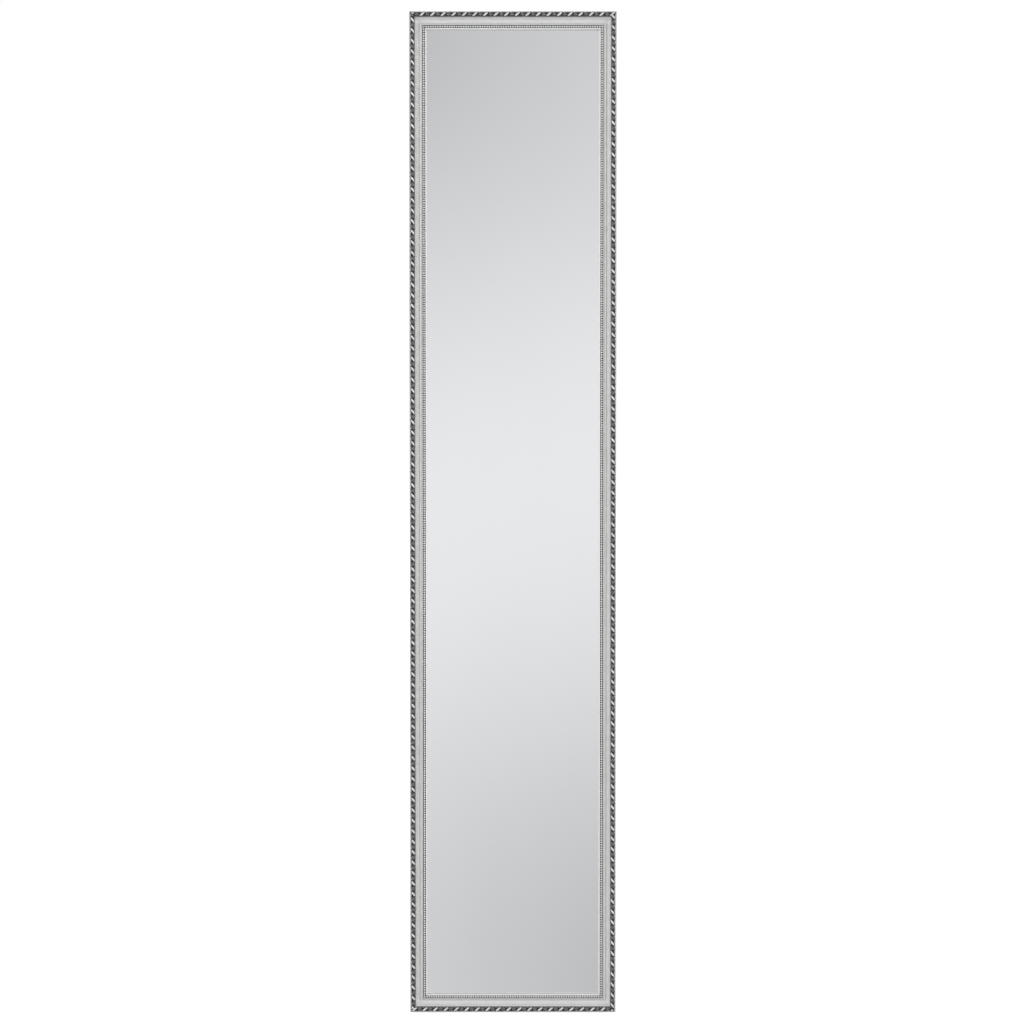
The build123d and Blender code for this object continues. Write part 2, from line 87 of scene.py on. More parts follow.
def make_piece(name, points, faces, material, attributes=None):
    """A mesh object from points of the mirror's own frame, smooth but for its end caps."""
    mesh = bpy.data.meshes.new(name)
    mesh.from_pydata(to_world(points).tolist(), [], [list(face) for face in faces])
    for key, values in (attributes or {}).items():
        layer = mesh.attributes.new(key, "FLOAT", "POINT")
        layer.data.foreach_set("value", np.asarray(values, np.float32))
    shape = bmesh.new()
    shape.from_mesh(mesh)
    bmesh.ops.recalc_face_normals(shape, faces=shape.faces)
    shape.to_mesh(mesh)
    shape.free()
    mesh.polygons.foreach_set("use_smooth", [len(polygon.vertices) <= 4 for polygon in mesh.polygons])
    mesh.materials.append(material)
    piece = bpy.data.objects.new(name, mesh)
    bpy.context.scene.collection.objects.link(piece)
    return piece


# Node graphs


class Graph:
    """Short ways to add and join shader nodes. A number or colour is set on a socket and a socket is linked to it."""

    def __init__(self, tree):
        self.tree = tree
        tree.nodes.clear()

    def put(self, socket, value):
        if isinstance(value, bpy.types.NodeSocket):
            self.tree.links.new(value, socket)
        else:
            socket.default_value = value

    def node(self, kind, inputs=None, **settings):
        made = self.tree.nodes.new(kind)
        for key, value in settings.items():
            setattr(made, key, value)
        for key, value in (inputs or {}).items():
            self.put(made.inputs[key], value)
        return made

    def math(self, operation, *values, clamp=False):
        made = self.node("ShaderNodeMath", operation=operation, use_clamp=clamp)
        for socket, value in zip(made.inputs, values):
            self.put(socket, value)
        return made.outputs[0]

    def dot(self, vector, axis):
        made = self.node("ShaderNodeVectorMath", operation="DOT_PRODUCT")
        self.put(made.inputs[0], vector)
        self.put(made.inputs[1], axis)
        return made.outputs["Value"]

    def span(self, value, low, high, to_low=0.0, to_high=1.0, kind="SMOOTHSTEP"):
        made = self.node("ShaderNodeMapRange", interpolation_type=kind)
        limits = {"From Min": low, "From Max": high, "To Min": to_low, "To Max": to_high}
        for key, number in {"Value": value, **limits}.items():
            self.put(made.inputs[key], number)
        return made.outputs["Result"]

    def mix(self, share, first, second):
        made = self.node("ShaderNodeMix", data_type="RGBA")
        self.put(made.inputs["Factor"], share)
        self.put(made.inputs["A"], first)
        self.put(made.inputs["B"], second)
        return made.outputs["Result"]

    def noise(self, vector, scale, detail=3.0, roughness=0.5, distortion=0.0):
        inputs = {"Vector": vector, "Scale": scale, "Detail": detail, "Roughness": roughness, "Distortion": distortion}
        return self.node("ShaderNodeTexNoise", inputs).outputs["Fac"]

    def place(self, scale=(1, 1, 1), rotation=(0, 0, 0)):
        """The piece's own coordinates, turned and then stretched."""
        coordinates = self.node("ShaderNodeTexCoord").outputs["Object"]
        inputs = {"Vector": coordinates, "Rotation": rotation}
        turned = self.node("ShaderNodeVectorRotate", inputs, rotation_type="EULER_XYZ")
        stretched = self.node("ShaderNodeVectorMath", operation="MULTIPLY")
        self.put(stretched.inputs[0], turned.outputs[0])
        self.put(stretched.inputs[1], scale)
        return stretched.outputs[0]

    def attribute(self, name):
        return self.node("ShaderNodeAttribute", attribute_name=name).outputs["Fac"]

    def bump(self, height, distance, strength=1.0):
        return self.node("ShaderNodeBump", {"Height": height, "Distance": distance, "Strength": strength}).outputs[0]

    def principled(self, **inputs):
        shader = self.node("ShaderNodeBsdfPrincipled", {key.replace("_", " "): value for key, value in inputs.items()})
        end = self.node("ShaderNodeOutputMaterial")
        self.tree.links.new(shader.outputs[0], end.inputs["Surface"])


def material(name):
    made = bpy.data.materials.new(name)
    made.use_nodes = True
    return made, Graph(made.node_tree)


# Materials

# Near-black colour of the patina in the hollows and of the painted shade laid with it
SHADE_AND_PATINA_DARK = (0.014, 0.013, 0.012, 1)


def silver_leaf(name, light, dark, smooth_finish, grain):
    """Silvered gesso: burnished on the high places, rubbed back in mottled patches, and darkened by a per-point mask
    that holds patina in the hollows together with painted shade.
    """
    made, g = material(name)
    spot = g.place()
    mottle = g.noise(spot, 90.0, 4.0, 0.6)
    speck = g.noise(spot, grain, 3.0, 0.6)
    tone = g.span(mottle, 0.35, 0.68)
    silver = g.mix(tone, (*dark, 1), (*light, 1))
    # Painted shade and patina: the mesh's per-point mask, broken up by fine specks, mixes the silver toward near-black
    shade_and_patina_mask = g.attribute("shade_and_patina")
    shade_and_patina_share = g.math("MULTIPLY", shade_and_patina_mask, g.span(speck, 0.2, 0.62, 0.96, 1.0))
    colour = g.mix(shade_and_patina_share, silver, SHADE_AND_PATINA_DARK)
    gloss = g.span(speck, 0.3, 0.7, smooth_finish - 0.04, smooth_finish + 0.06)
    rough = g.math("ADD", gloss, g.math("MULTIPLY", shade_and_patina_share, 0.42), clamp=True)
    metal = g.span(shade_and_patina_share, 0.0, 1.0, 0.62, 0.05)
    g.principled(Base_Color=colour, Metallic=metal, Roughness=rough, Normal=g.bump(speck, 0.00005, 0.5))
    return made


def mirror_silver():
    """Silvered glass, with the faint haze that wiping leaves."""
    made, g = material("silvered_glass")
    haze = g.noise(g.place((1.0, 1.0, 0.35)), 7.0, 3.0, 0.55)
    colour = g.mix(g.span(haze, 0.3, 0.7), (0.960, 0.966, 0.972, 1), (0.972, 0.977, 0.982, 1))
    g.principled(Base_Color=colour, Metallic=1.0, Roughness=g.span(haze, 0.25, 0.75, 0.0, 0.006))
    return made


def timber(name, pale, ring, rotation, scale=34.0, finish=0.62):
    """Planed softwood: growth rings stretched along the board, fine pores and a few darker streaks."""
    made, g = material(name)
    along = g.place((1.0, 1.0, 0.045), rotation)
    sway = g.noise(along, 6.0, 2.0, 0.5)
    bent = g.node("ShaderNodeVectorMath", operation="ADD")
    g.put(bent.inputs[0], along)
    g.put(bent.inputs[1], g.node("ShaderNodeCombineXYZ", {"X": g.math("MULTIPLY", sway, 0.06)}).outputs[0])
    wave = g.node(
        "ShaderNodeTexWave", {"Vector": bent.outputs[0], "Scale": scale, "Distortion": 9.0, "Detail": 3.0},
        wave_type="BANDS", bands_direction="X", wave_profile="SIN",
    )
    rings = g.span(wave.outputs["Fac"], 0.25, 1.0, 0.0, 0.75)
    pores = g.noise(g.place((1.0, 1.0, 0.02), rotation), 900.0, 2.0, 0.6)
    wood = g.mix(rings, (*pale, 1), (*ring, 1))
    streak = g.span(g.noise(along, 22.0, 3.0), 0.52, 0.78, 0.0, 0.35)
    wood = g.mix(streak, wood, (*[c * 0.72 for c in ring], 1))
    wood = g.mix(g.span(pores, 0.55, 0.75, 0.0, 0.3), wood, (*[c * 0.6 for c in ring], 1))
    rough = g.span(pores, 0.3, 0.8, finish - 0.06, finish + 0.12)
    g.principled(Base_Color=wood, Roughness=rough, Normal=g.bump(pores, 0.00008, 0.4))
    return made


def hardboard(screen_pitch=0.0022):
    """Pressed brown fibre board, with the screen marks of its rough side."""
    made, g = material("pressed_board")
    spot = g.place()
    clump = g.noise(spot, 60.0, 4.0, 0.6)
    fibre = g.noise(g.place((1.0, 1.0, 0.3)), 700.0, 3.0, 0.7)
    colour = g.mix(g.span(clump, 0.3, 0.7), (0.205, 0.130, 0.073, 1), (0.290, 0.193, 0.113, 1))
    colour = g.mix(g.span(fibre, 0.45, 0.75, 0.0, 0.6), colour, (0.130, 0.078, 0.042, 1))
    screen_marks = [
        g.math("SINE", g.math("MULTIPLY", g.dot(g.place(), axis), 2 * math.pi / screen_pitch))
        for axis in ((1, 0, 0), tuple(UP))
    ]
    screen = g.math("MULTIPLY", *screen_marks)
    relief = g.math("ADD", g.math("MULTIPLY", screen, 0.5), fibre)
    g.principled(Base_Color=colour, Roughness=g.span(fibre, 0.3, 0.7, 0.72, 0.9), Normal=g.bump(relief, 0.00015, 0.6))
    return made


def zinc_steel():
    """Zinc-plated pressed steel: pale spangle, fine scratches and duller patches."""
    made, g = material("zinc_plated_steel")
    spot = g.place()
    cells = g.node("ShaderNodeTexVoronoi", {"Vector": spot, "Scale": 420.0}).outputs["Color"]
    cell = g.node("ShaderNodeSeparateColor", {"Color": cells}).outputs[0]
    cloud = g.noise(spot, 160.0, 4.0, 0.6)
    scratch = g.noise(g.place((1.0, 1.0, 0.05)), 2600.0, 2.0, 0.6)
    colour = g.mix(cell, (0.52, 0.53, 0.54, 1), (0.64, 0.65, 0.66, 1))
    colour = g.mix(g.span(cloud, 0.5, 0.8, 0.0, 0.5), colour, (0.40, 0.40, 0.39, 1))
    rough = g.math("ADD", g.span(cloud, 0.3, 0.7, 0.26, 0.4), g.span(scratch, 0.55, 0.75, 0.0, 0.12))
    g.principled(Base_Color=colour, Metallic=1.0, Roughness=rough, Normal=g.bump(scratch, 0.00003, 0.4))
    return made


def moulded_rubber():
    """Dark rubber with a fine moulded skin and a little dust."""
    made, g = material("moulded_rubber")
    spot = g.place()
    skin = g.noise(spot, 1500.0, 3.0, 0.6)
    dust = g.noise(spot, 110.0, 4.0, 0.6)
    colour = g.mix(g.span(dust, 0.5, 0.78, 0.0, 0.6), (0.020, 0.020, 0.021, 1), (0.085, 0.082, 0.078, 1))
    g.principled(Base_Color=colour, Roughness=g.span(dust, 0.3, 0.7, 0.55, 0.78), Normal=g.bump(skin, 0.00008, 0.5))
    return made


def webbing(rib=0.0013, pick=0.0016):
    """Woven tape: ribs across it, warp ends along it, selvedges and a faint sheen."""
    made, g = material("woven_tape")
    run, across = g.attribute("run"), g.attribute("across")
    warp = g.math("SINE", g.math("MULTIPLY", across, 2 * math.pi / rib))
    weft = g.math("SINE", g.math("MULTIPLY", run, 2 * math.pi / pick))
    weave = g.span(g.math("MULTIPLY", warp, weft), -1.0, 1.0)
    fuzz = g.noise(g.place(), 900.0, 3.0, 0.7)
    colour = g.mix(weave, (0.030, 0.031, 0.034, 1), (0.115, 0.117, 0.122, 1))
    colour = g.mix(g.span(fuzz, 0.45, 0.8, 0.0, 0.5), colour, (0.165, 0.165, 0.168, 1))
    relief = g.math("ADD", weave, g.math("MULTIPLY", fuzz, 0.4))
    g.principled(
        Base_Color=colour, Roughness=g.span(fuzz, 0.3, 0.7, 0.72, 0.9), Sheen_Weight=0.25, Sheen_Roughness=0.5,
        Normal=g.bump(relief, 0.00025, 0.8),
    )
    return made


FACE_SILVER = silver_leaf("silvered_face", (0.975, 0.975, 0.97), (0.935, 0.935, 0.93), 0.43, 900.0)
CARVED_SILVER = silver_leaf("silvered_carving", (0.92, 0.92, 0.91), (0.78, 0.78, 0.775), 0.25, 1300.0)
PEARL_SILVER = silver_leaf("silvered_pearls", (0.96, 0.96, 0.955), (0.88, 0.88, 0.875), 0.32, 1100.0)
MIRROR = mirror_silver()
BACK_WOOD = timber("raw_moulding_wood", (0.56, 0.41, 0.25), (0.40, 0.265, 0.14), (LEAN, 0, 0), 52.0)
SIDE_WOOD = timber("raw_moulding_wood_level", (0.56, 0.41, 0.25), (0.40, 0.265, 0.14), (LEAN, math.pi / 2, 0), 52.0)
CROSSBAR_PINE = timber("planed_pine_level", (0.64, 0.47, 0.28), (0.49, 0.31, 0.15), (LEAN, math.pi / 2, 0))
STRUT_PINE = timber("planed_pine", (0.64, 0.47, 0.28), (0.49, 0.31, 0.15), (LEAN - STRUT_OPENING, 0, 0))
BOARD = hardboard()
STEEL = zinc_steel()
RUBBER = moulded_rubber()
WEBBING = webbing()

NODE_MATERIALS = {
    MIRROR: ["mirror_glass"],
    BACK_WOOD: ["left_moulding", "right_moulding"],
    SIDE_WOOD: ["top_moulding", "bottom_moulding"],
    BOARD: ["backing_board"],
    CROSSBAR_PINE: ["crossbar"],
    STRUT_PINE: ["strut_board"],
    RUBBER: ["glass_setting_blocks", "strut_rest_buttons", "left_wedge_foot", "right_wedge_foot", "strut_foot_cap"],
    STEEL: [
        "corner_v_nails", "backing_points", "crossbar_screws", "hinge_fixed_leaf", "hinge_fixed_screws", "hinge_pin",
        "hinge_moving_leaf", "hinge_strut_screws", "strap_rail_screw", "strap_strut_screw", "left_hanger_plate",
        "right_hanger_plate", "hanger_screws",
    ],
}
for finish, names in NODE_MATERIALS.items():
    for name in names:
        frame["nodes"][name].data.materials.clear()
        frame["nodes"][name].data.materials.append(finish)

# Sides of the frame: name, length, corner where it starts, direction along it, direction to the middle

HALF = FRAME_WIDTH / 2
SIDES = {
    "top": (FRAME_WIDTH, (-HALF, FRAME_HEIGHT), (1, 0), (0, -1)),
    "right": (FRAME_HEIGHT, (HALF, FRAME_HEIGHT), (0, -1), (-1, 0)),
    "bottom": (FRAME_WIDTH, (HALF, 0), (-1, 0), (0, 1)),
    "left": (FRAME_HEIGHT, (-HALF, 0), (0, 1), (1, 0)),
}


def on_side(side, along, across, height):
    """Points of a side in the mirror's own frame: how far along it, how far in from the outer edge and how high."""
    _, corner, forward, inward = SIDES[side]
    along, across, height = np.broadcast_arrays(along, across, height)
    x = corner[0] + forward[0] * along + inward[0] * across
    z = corner[1] + forward[1] * along + inward[1] * across
    return np.stack([x.ravel(), -height.ravel(), z.ravel()], axis=1)


def tube_faces(rows, ring):
    """Quads between rows of a closed ring of points, and a fan of one face at each end."""
    row, column = np.meshgrid(np.arange(rows - 1), np.arange(ring), indexing="ij")
    after = (column + 1) % ring
    here, above = row * ring, (row + 1) * ring
    quads = np.stack([here + column, here + after, above + after, above + column], axis=-1)
    ends = [list(range(ring)), list(range((rows - 1) * ring, rows * ring))]
    return quads.reshape(-1, 4).tolist() + ends


# Silvered faces: a thin skin over the mouldings, PROUD of the wood and SUNK into it

PROUD = 0.18
SUNK = 0.12
CORNER_STEPS = 4
CORNER_SHARE = 0.45
COVE_STEPS = 16
RISE_STEPS = 8
END_STEP = 0.6
QUIRK = 8.4
COVE_START = 8.9
VALLEY = (15.4, 6.5)
RISE_END = (19.0, 14.6)
FILLET_END = 20.5
GROOVE_END = 25.4
GROOVE_FLOOR = 12.7
LIP_END = 26.8
LIP_HEIGHT = 14.2
RABBET_HEIGHT = 9.65
SKIRT_HEIGHTS = (0.4, 4.0, 10.0)
COVE_SAGITTA = 2.1
RISE_SAGITTA = 0.3


def arc_points(start, end, sagitta, count):
    """Points of a circle's arc between two points, bulging by sagitta to the left of the way from start to end."""
    start, end = np.array(start, float), np.array(end, float)
    length = np.hypot(*(end - start))
    way = (end - start) / length
    side = np.array([-way[1], way[0]]) * math.copysign(1, sagitta)
    radius = (length**2 / 4 + sagitta**2) / (2 * abs(sagitta))
    half = math.asin(length / 2 / radius)
    turn = np.linspace(-half, half, count)[:, None]
    bulge = radius * np.cos(turn) - radius * math.cos(half)
    return start + way * (length / 2 + radius * np.sin(turn)) + side * bulge


def rounded(points, radii):
    """The path with each corner that has a radius turned into a short curve."""
    made = [np.array(points[0], float)]
    for before, here, after, radius in zip(points, points[1:], points[2:], radii[1:]):
        here = np.array(here, float)
        if radius == 0:
            made.append(here)
            continue
        back = np.array(before, float) - here
        on = np.array(after, float) - here
        start = here + back / np.hypot(*back) * min(radius, np.hypot(*back) * CORNER_SHARE)
        end = here + on / np.hypot(*on) * min(radius, np.hypot(*on) * CORNER_SHARE)
        for t in np.linspace(0, 1, CORNER_STEPS):
            made.append((1 - t) ** 2 * start + 2 * t * (1 - t) * here + t * t * end)
    made.append(np.array(points[-1], float))
    return np.array(made)


def moved(path, distance):
    """The path moved to its left by a distance."""
    way = np.gradient(path, axis=0)
    way /= np.hypot(way[:, 0], way[:, 1])[:, None]
    return path + np.stack([-way[:, 1], way[:, 0]], axis=1) * distance


def face_path():
    """The moulding's visible face, as distance in from the outer edge and height from the back."""
    cove = arc_points((COVE_START, SEAT_HEIGHT), VALLEY, -COVE_SAGITTA, COVE_STEPS)
    rise = arc_points(VALLEY, RISE_END, RISE_SAGITTA, RISE_STEPS)
    corners = [(0, h, 0) for h in SKIRT_HEIGHTS] + [(0, SEAT_HEIGHT, 0.5), (4.0, SEAT_HEIGHT, 0)]
    corners += [(QUIRK, SEAT_HEIGHT, 0), (*cove[0], 0.4)] + [(x, h, 0) for x, h in cove[1:-1]]
    corners += [(*VALLEY, 0.3)] + [(x, h, 0) for x, h in rise[1:-1]] + [(*RISE_END, 0.4)]
    corners += [(FILLET_END, RISE_END[1], 0.35), (FILLET_END, GROOVE_FLOOR, 0.25)]
    corners += [(x, GROOVE_FLOOR, 0) for x in np.linspace(FILLET_END, GROOVE_END, 6)[1:-1]]
    corners += [(GROOVE_END, GROOVE_FLOOR, 0.25), (GROOVE_END, LIP_HEIGHT, 0.35), (LIP_END, LIP_HEIGHT, 0.4)]
    corners += [(LIP_END, RABBET_HEIGHT, 0)]
    return rounded([corner[:2] for corner in corners], [corner[2] for corner in corners])


def toned(x, h):
    """How dark each place of the face is toned, from 0 to 1: painted shade in the quirk, along the valley, at the line
    where the rise meets the fillet, down the cove toward the roll and over the outer side face, patina with painted
    shade in the pearls' groove, and a little darker on the fillet's top.
    """
    # Painted shade in the quirk between the roll and the cove
    quirk = np.exp(-(((x - 0.5 * (QUIRK + COVE_START)) / 0.3) ** 2)) * (h > SEAT_HEIGHT - 0.6)
    # Painted shade along the valley crease
    valley = 0.65 * np.exp(-(((x - VALLEY[0]) / 0.4) ** 2))
    # Patina with painted shade in the groove under the pearls
    groove = 1.0 * smoothstep((x - FILLET_END + 0.1) / 0.3) * smoothstep((GROOVE_END + 0.1 - x) / 0.3) * (h < 14.0)
    # Painted shade down the cove toward the roll, where the roll would shade it
    wall = 0.12 * smoothstep((13.0 - x) / 3.5) * (x > COVE_START)
    # Painted shade over the outer side face, keeping its reflection from reading too bright
    edge = 0.45 * (x < 0.3) * (h < SEAT_HEIGHT - 0.8)
    # The fillet's top toned a little darker
    fillet = 0.3 * smoothstep((x - RISE_END[0] + 0.2) / 0.3) * (h > LIP_HEIGHT + 0.2)
    # Painted shade: a dark line where the rise meets the fillet
    crease = 0.8 * np.exp(-(((x - RISE_END[0]) / 0.3) ** 2)) * (h > LIP_HEIGHT)
    return np.clip(np.maximum.reduce([quirk, wall, valley, groove, fillet, crease, edge]), 0, 1)


face_line = face_path()
outer_line = moved(face_line, PROUD)
inner_line = moved(face_line, -SUNK)[::-1]
loop = np.vstack([outer_line, inner_line])
loop_tone = np.concatenate([toned(*face_line.T), np.zeros(len(inner_line))])
for side, (length, *_) in SIDES.items():
    x, h = loop.T
    alongs = [x, x + END_STEP, x * 0 + length / 2, length - END_STEP - x, length - x]
    stations = [on_side(side, along, x, h) for along in alongs]
    faces = tube_faces(len(stations), len(loop))
    tone = np.tile(loop_tone, len(stations))
    piece = make_piece(f"{side}_silvered_face", np.vstack(stations), faces, FACE_SILVER, {"shade_and_patina": tone})
    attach(piece, "mirror")

# Leaf carving

ROLL_MIDDLE = 4.3
ROLL_HEIGHT = 17.8
ROLL_RADIUS = 4.1
ROLL_SEAT = 16.7
ROLL_STRIPS = 25
UNIT = 16.8
ROWS_PER_UNIT = 36
PIT_DEPTH = 1.5
GADROONS = 5
OUTER_SCALLOPS = 2
INNER_SCALLOPS = 3
NO_LUMP = -9.0
LEAF_PHASE = {"top": 4.0, "right": 9.5, "bottom": 4.0, "left": 6.6}


def ridge(u, w, points, radii, crests):
    """The height of a run of blended round lumps, or far below the roll where there is none."""
    height = np.full(u.shape, NO_LUMP)
    for (cu, cw), radius, crest in zip(points, radii, crests):
        near = ((u - cu) ** 2 + (w - cw) ** 2) / radius**2
        height = np.maximum(height, crest - 0.55 * radius * near**1.6)
    return height


def carved(s, w):
    """Height of the carving on the roll's surface, and its patina with painted shade, at s along the side and w across
    the roll.
    """
    u = (s + UNIT / 2) % UNIT - UNIT / 2
    far = s % UNIT
    t = np.linspace(0, 1, 18)
    spine = np.stack([-2.8 + 5.8 * t, 3.9 - 5.2 * smoothstep(t * 0.9 + 0.05)], axis=1)
    leaf = ridge(u, w, spine, 0.85 + 1.1 * np.sin(math.pi * np.clip(t * 0.85 + 0.1, 0, 1)), 0.12 - 0.35 * t**2)
    vein = 0.3 * np.exp(-(((w - np.interp(u, spine[:, 0], spine[:, 1])) / 0.22) ** 2)) * (leaf > -0.4)
    middle = UNIT / 2
    petals = [(-1.5, 1.0), (1.5, 1.0), (0.0, -1.2), (0.0, 2.6)]
    bloom = ridge(far - middle, w - 1.0, petals, [0.95, 0.95, 1.05, 0.8], [-0.45] * 4)
    tips = ((3.1, 2.6), (-3.1, 2.6), (3.1, -2.4), (-3.1, -2.4))
    stems = [(a * k, b * k) for a, b in tips for k in (0.45, 0.6, 0.75, 0.9, 1.05)]
    twig = ridge(far - middle, w - 1.0, stems, [0.5] * len(stems), [-0.6] * len(stems))
    bead = 0.5 + 0.5 * np.cos(2 * math.pi * GADROONS * s / UNIT)
    outer_edge = -2.5 + 0.5 * np.cos(2 * math.pi * OUTER_SCALLOPS * s / UNIT + 1.1)
    outer = smoothstep((outer_edge - w) / 0.9)
    inner_edge = 5.0 + 0.35 * np.cos(2 * math.pi * INNER_SCALLOPS * s / UNIT)
    inner = smoothstep((w - inner_edge) / 0.8)
    ground = -PIT_DEPTH + PIT_DEPTH * outer + (PIT_DEPTH - 0.45) * inner
    ground -= 0.3 * outer * (1 - bead) * smoothstep((w + 6.2) / 0.8)
    relief = np.maximum.reduce([ground, leaf - vein * 0.5, bloom, twig])
    depth = np.clip(-relief / PIT_DEPTH, 0, 1)
    # Patina with painted shade, deeper in the deeper pits and between the rim's beads; painted shade on the roll's
    # inner flank
    shade_and_patina = smoothstep((depth - 0.16) / 0.4) + 0.25 * outer * (1 - bead) + 0.45 * smoothstep((w - 4.4) / 1.0)
    # Painted shade on the roll's outer flank, keeping its reflection from reading too bright
    shade_and_patina += 0.15 * smoothstep((-2.0 - w) / 1.0) + 0.4 * smoothstep((-4.0 - w) / 1.0)
    return np.maximum(relief, -PIT_DEPTH), np.clip(shade_and_patina, 0, 1)


across_roll = np.linspace(-math.pi / 2, math.pi / 2, ROLL_STRIPS) * ROLL_RADIUS
for side, (length, *_) in SIDES.items():
    count = int(length / UNIT * ROWS_PER_UNIT)
    edge = ROLL_MIDDLE + ROLL_RADIUS * np.sin(across_roll / ROLL_RADIUS)
    t = np.linspace(0, 1, count)[:, None]
    s = edge[None, :] * (1 - t) + (length - edge[None, :]) * t
    relief, shade_and_patina = carved(s - LEAF_PHASE[side], np.broadcast_to(across_roll, s.shape))
    taper = smoothstep((math.pi / 2 * ROLL_RADIUS - np.abs(across_roll)) / 0.7)
    relief = relief * taper
    radius = ROLL_RADIUS + relief
    x = ROLL_MIDDLE + radius * np.sin(across_roll / ROLL_RADIUS)
    h = ROLL_HEIGHT + radius * np.cos(across_roll / ROLL_RADIUS)
    foot_x = np.array([ROLL_MIDDLE + ROLL_RADIUS, ROLL_MIDDLE - ROLL_RADIUS])
    foot_s = foot_x[None, :] * (1 - t) + (length - foot_x[None, :]) * t
    s = np.hstack([s, foot_s])
    x = np.hstack([x, np.broadcast_to(foot_x, foot_s.shape)])
    h = np.hstack([h, np.full(foot_s.shape, ROLL_SEAT)])
    # Full painted shade on the foot strip where the roll meets its seat
    tone = np.hstack([shade_and_patina, np.full(foot_s.shape, 1.0)])
    points, faces = on_side(side, s, x, h), tube_faces(count, s.shape[1])
    piece = make_piece(f"{side}_leaf_carving", points, faces, CARVED_SILVER, {"shade_and_patina": tone.ravel()})
    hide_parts(f"{side}_leaf_ornament")
    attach(piece, "mirror")

# Pearls on their wire

PEARL_LINE = 22.95
PEARL_PITCH = 3.73
PEARL_RADIUS = 1.62
PEARL_HEIGHT = 13.2
WIRE_RADIUS = 0.6
WIRE_SIDES = 8
# How dark the wire under the pearls is painted, as shade
WIRE_SHADE = 0.75
MERIDIANS = 10
PARALLELS = 5


def pearl():
    """One pearl about the origin, with its poles across the wire, as points and faces."""
    points = [(0, 0, 1)]
    for parallel in range(1, PARALLELS + 1):
        polar = math.pi * parallel / (PARALLELS + 1)
        for meridian in range(MERIDIANS):
            turn = 2 * math.pi * meridian / MERIDIANS
            out = math.sin(polar)
            points.append((out * math.cos(turn), out * math.sin(turn), math.cos(polar)))
    points.append((0, 0, -1))
    last = len(points) - 1
    faces = []
    for meridian in range(MERIDIANS):
        after = (meridian + 1) % MERIDIANS
        faces.append([0, 1 + meridian, 1 + after])
        for parallel in range(PARALLELS - 1):
            here, below = 1 + parallel * MERIDIANS, 1 + (parallel + 1) * MERIDIANS
            faces.append([here + meridian, below + meridian, below + after, here + after])
        edge = 1 + (PARALLELS - 1) * MERIDIANS
        faces.append([edge + meridian, last, edge + after])
    return np.array(points) * PEARL_RADIUS, faces


pearl_points, pearl_faces = pearl()
pearl_x, pearl_y, pearl_z = pearl_points.T
wire_turn = np.arange(WIRE_SIDES) * 2 * math.pi / WIRE_SIDES
ring_x = PEARL_LINE + WIRE_RADIUS * np.cos(wire_turn)
ring_h = PEARL_HEIGHT + WIRE_RADIUS * np.sin(wire_turn)
# Painted shade on the lower part of each pearl, toward the groove floor
low = (PEARL_HEIGHT + pearl_z - GROOVE_FLOOR) / PEARL_RADIUS
pearl_underside_shade = 0.9 * smoothstep((0.42 - low) / 0.4)
for side, (length, *_) in SIDES.items():
    run = length - 2 * PEARL_LINE
    count = round(run / PEARL_PITCH)
    points, faces, tone = [], [], []
    start = 0
    for number in range(count):
        s = PEARL_LINE + run * number / count
        points.append(on_side(side, s + pearl_x, PEARL_LINE + pearl_y, PEARL_HEIGHT + pearl_z))
        faces += [[start + i for i in face] for face in pearl_faces]
        tone.append(pearl_underside_shade)
        start += len(pearl_points)
    points += [on_side(side, ring_x, ring_x, ring_h), on_side(side, length - ring_x, ring_x, ring_h)]
    faces += [[start + i for i in face] for face in tube_faces(2, len(wire_turn))]
    # Painted shade over the wire under the pearls
    tone.append(np.full(2 * len(wire_turn), WIRE_SHADE))
    shade_and_patina = {"shade_and_patina": np.concatenate(tone)}
    piece = make_piece(f"{side}_pearls", np.vstack(points), faces, PEARL_SILVER, shade_and_patina)
    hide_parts(f"{side}_pearl_beading")
    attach(piece, "mirror")

# Limit strap

STRAP_THICKNESS = 1.0
STRAP_TAB = 14.0
STRAP_RAIL_HEIGHT = 10.0
STRAP_STRUT_HEIGHT = 100.0
STRAP_BEND = 2.0
STRAP_STEP = 4.0
STRUT_GAP = 5.0


def opened(y, z):
    """Where a point of the folded strut goes when the strut is open."""
    dy, dz = y - HINGE_DEPTH, z - HINGE_HEIGHT
    turned_y = dy * math.cos(STRUT_OPENING) - dz * math.sin(STRUT_OPENING)
    turned_z = dy * math.sin(STRUT_OPENING) + dz * math.cos(STRUT_OPENING)
    return np.array([HINGE_DEPTH + turned_y, HINGE_HEIGHT + turned_z])


strap_corners = [
    np.array([STRAP_THICKNESS / 2, STRAP_RAIL_HEIGHT - STRAP_TAB / 2]),
    np.array([STRAP_THICKNESS / 2, STRAP_RAIL_HEIGHT + STRAP_TAB / 2]),
    opened(STRUT_GAP - STRAP_THICKNESS / 2, STRAP_STRUT_HEIGHT - STRAP_TAB / 2),
    opened(STRUT_GAP - STRAP_THICKNESS / 2, STRAP_STRUT_HEIGHT + STRAP_TAB / 2),
]
strap_line = rounded(strap_corners, [0, STRAP_BEND, STRAP_BEND, 0])
strap_path = []
for a, b in zip(strap_line, strap_line[1:]):
    pieces = max(1, int(np.hypot(*(b - a)) / STRAP_STEP))
    strap_path += np.linspace(a, b, pieces, endpoint=False).tolist()
strap_path = np.array(strap_path + [strap_line[-1].tolist()])
way = np.gradient(strap_path, axis=0)
way /= np.hypot(way[:, 0], way[:, 1])[:, None]
strap_normal = np.stack([-way[:, 1], way[:, 0]], axis=1)
run_length = np.concatenate([[0], np.cumsum(np.hypot(*np.diff(strap_path, axis=0).T))])
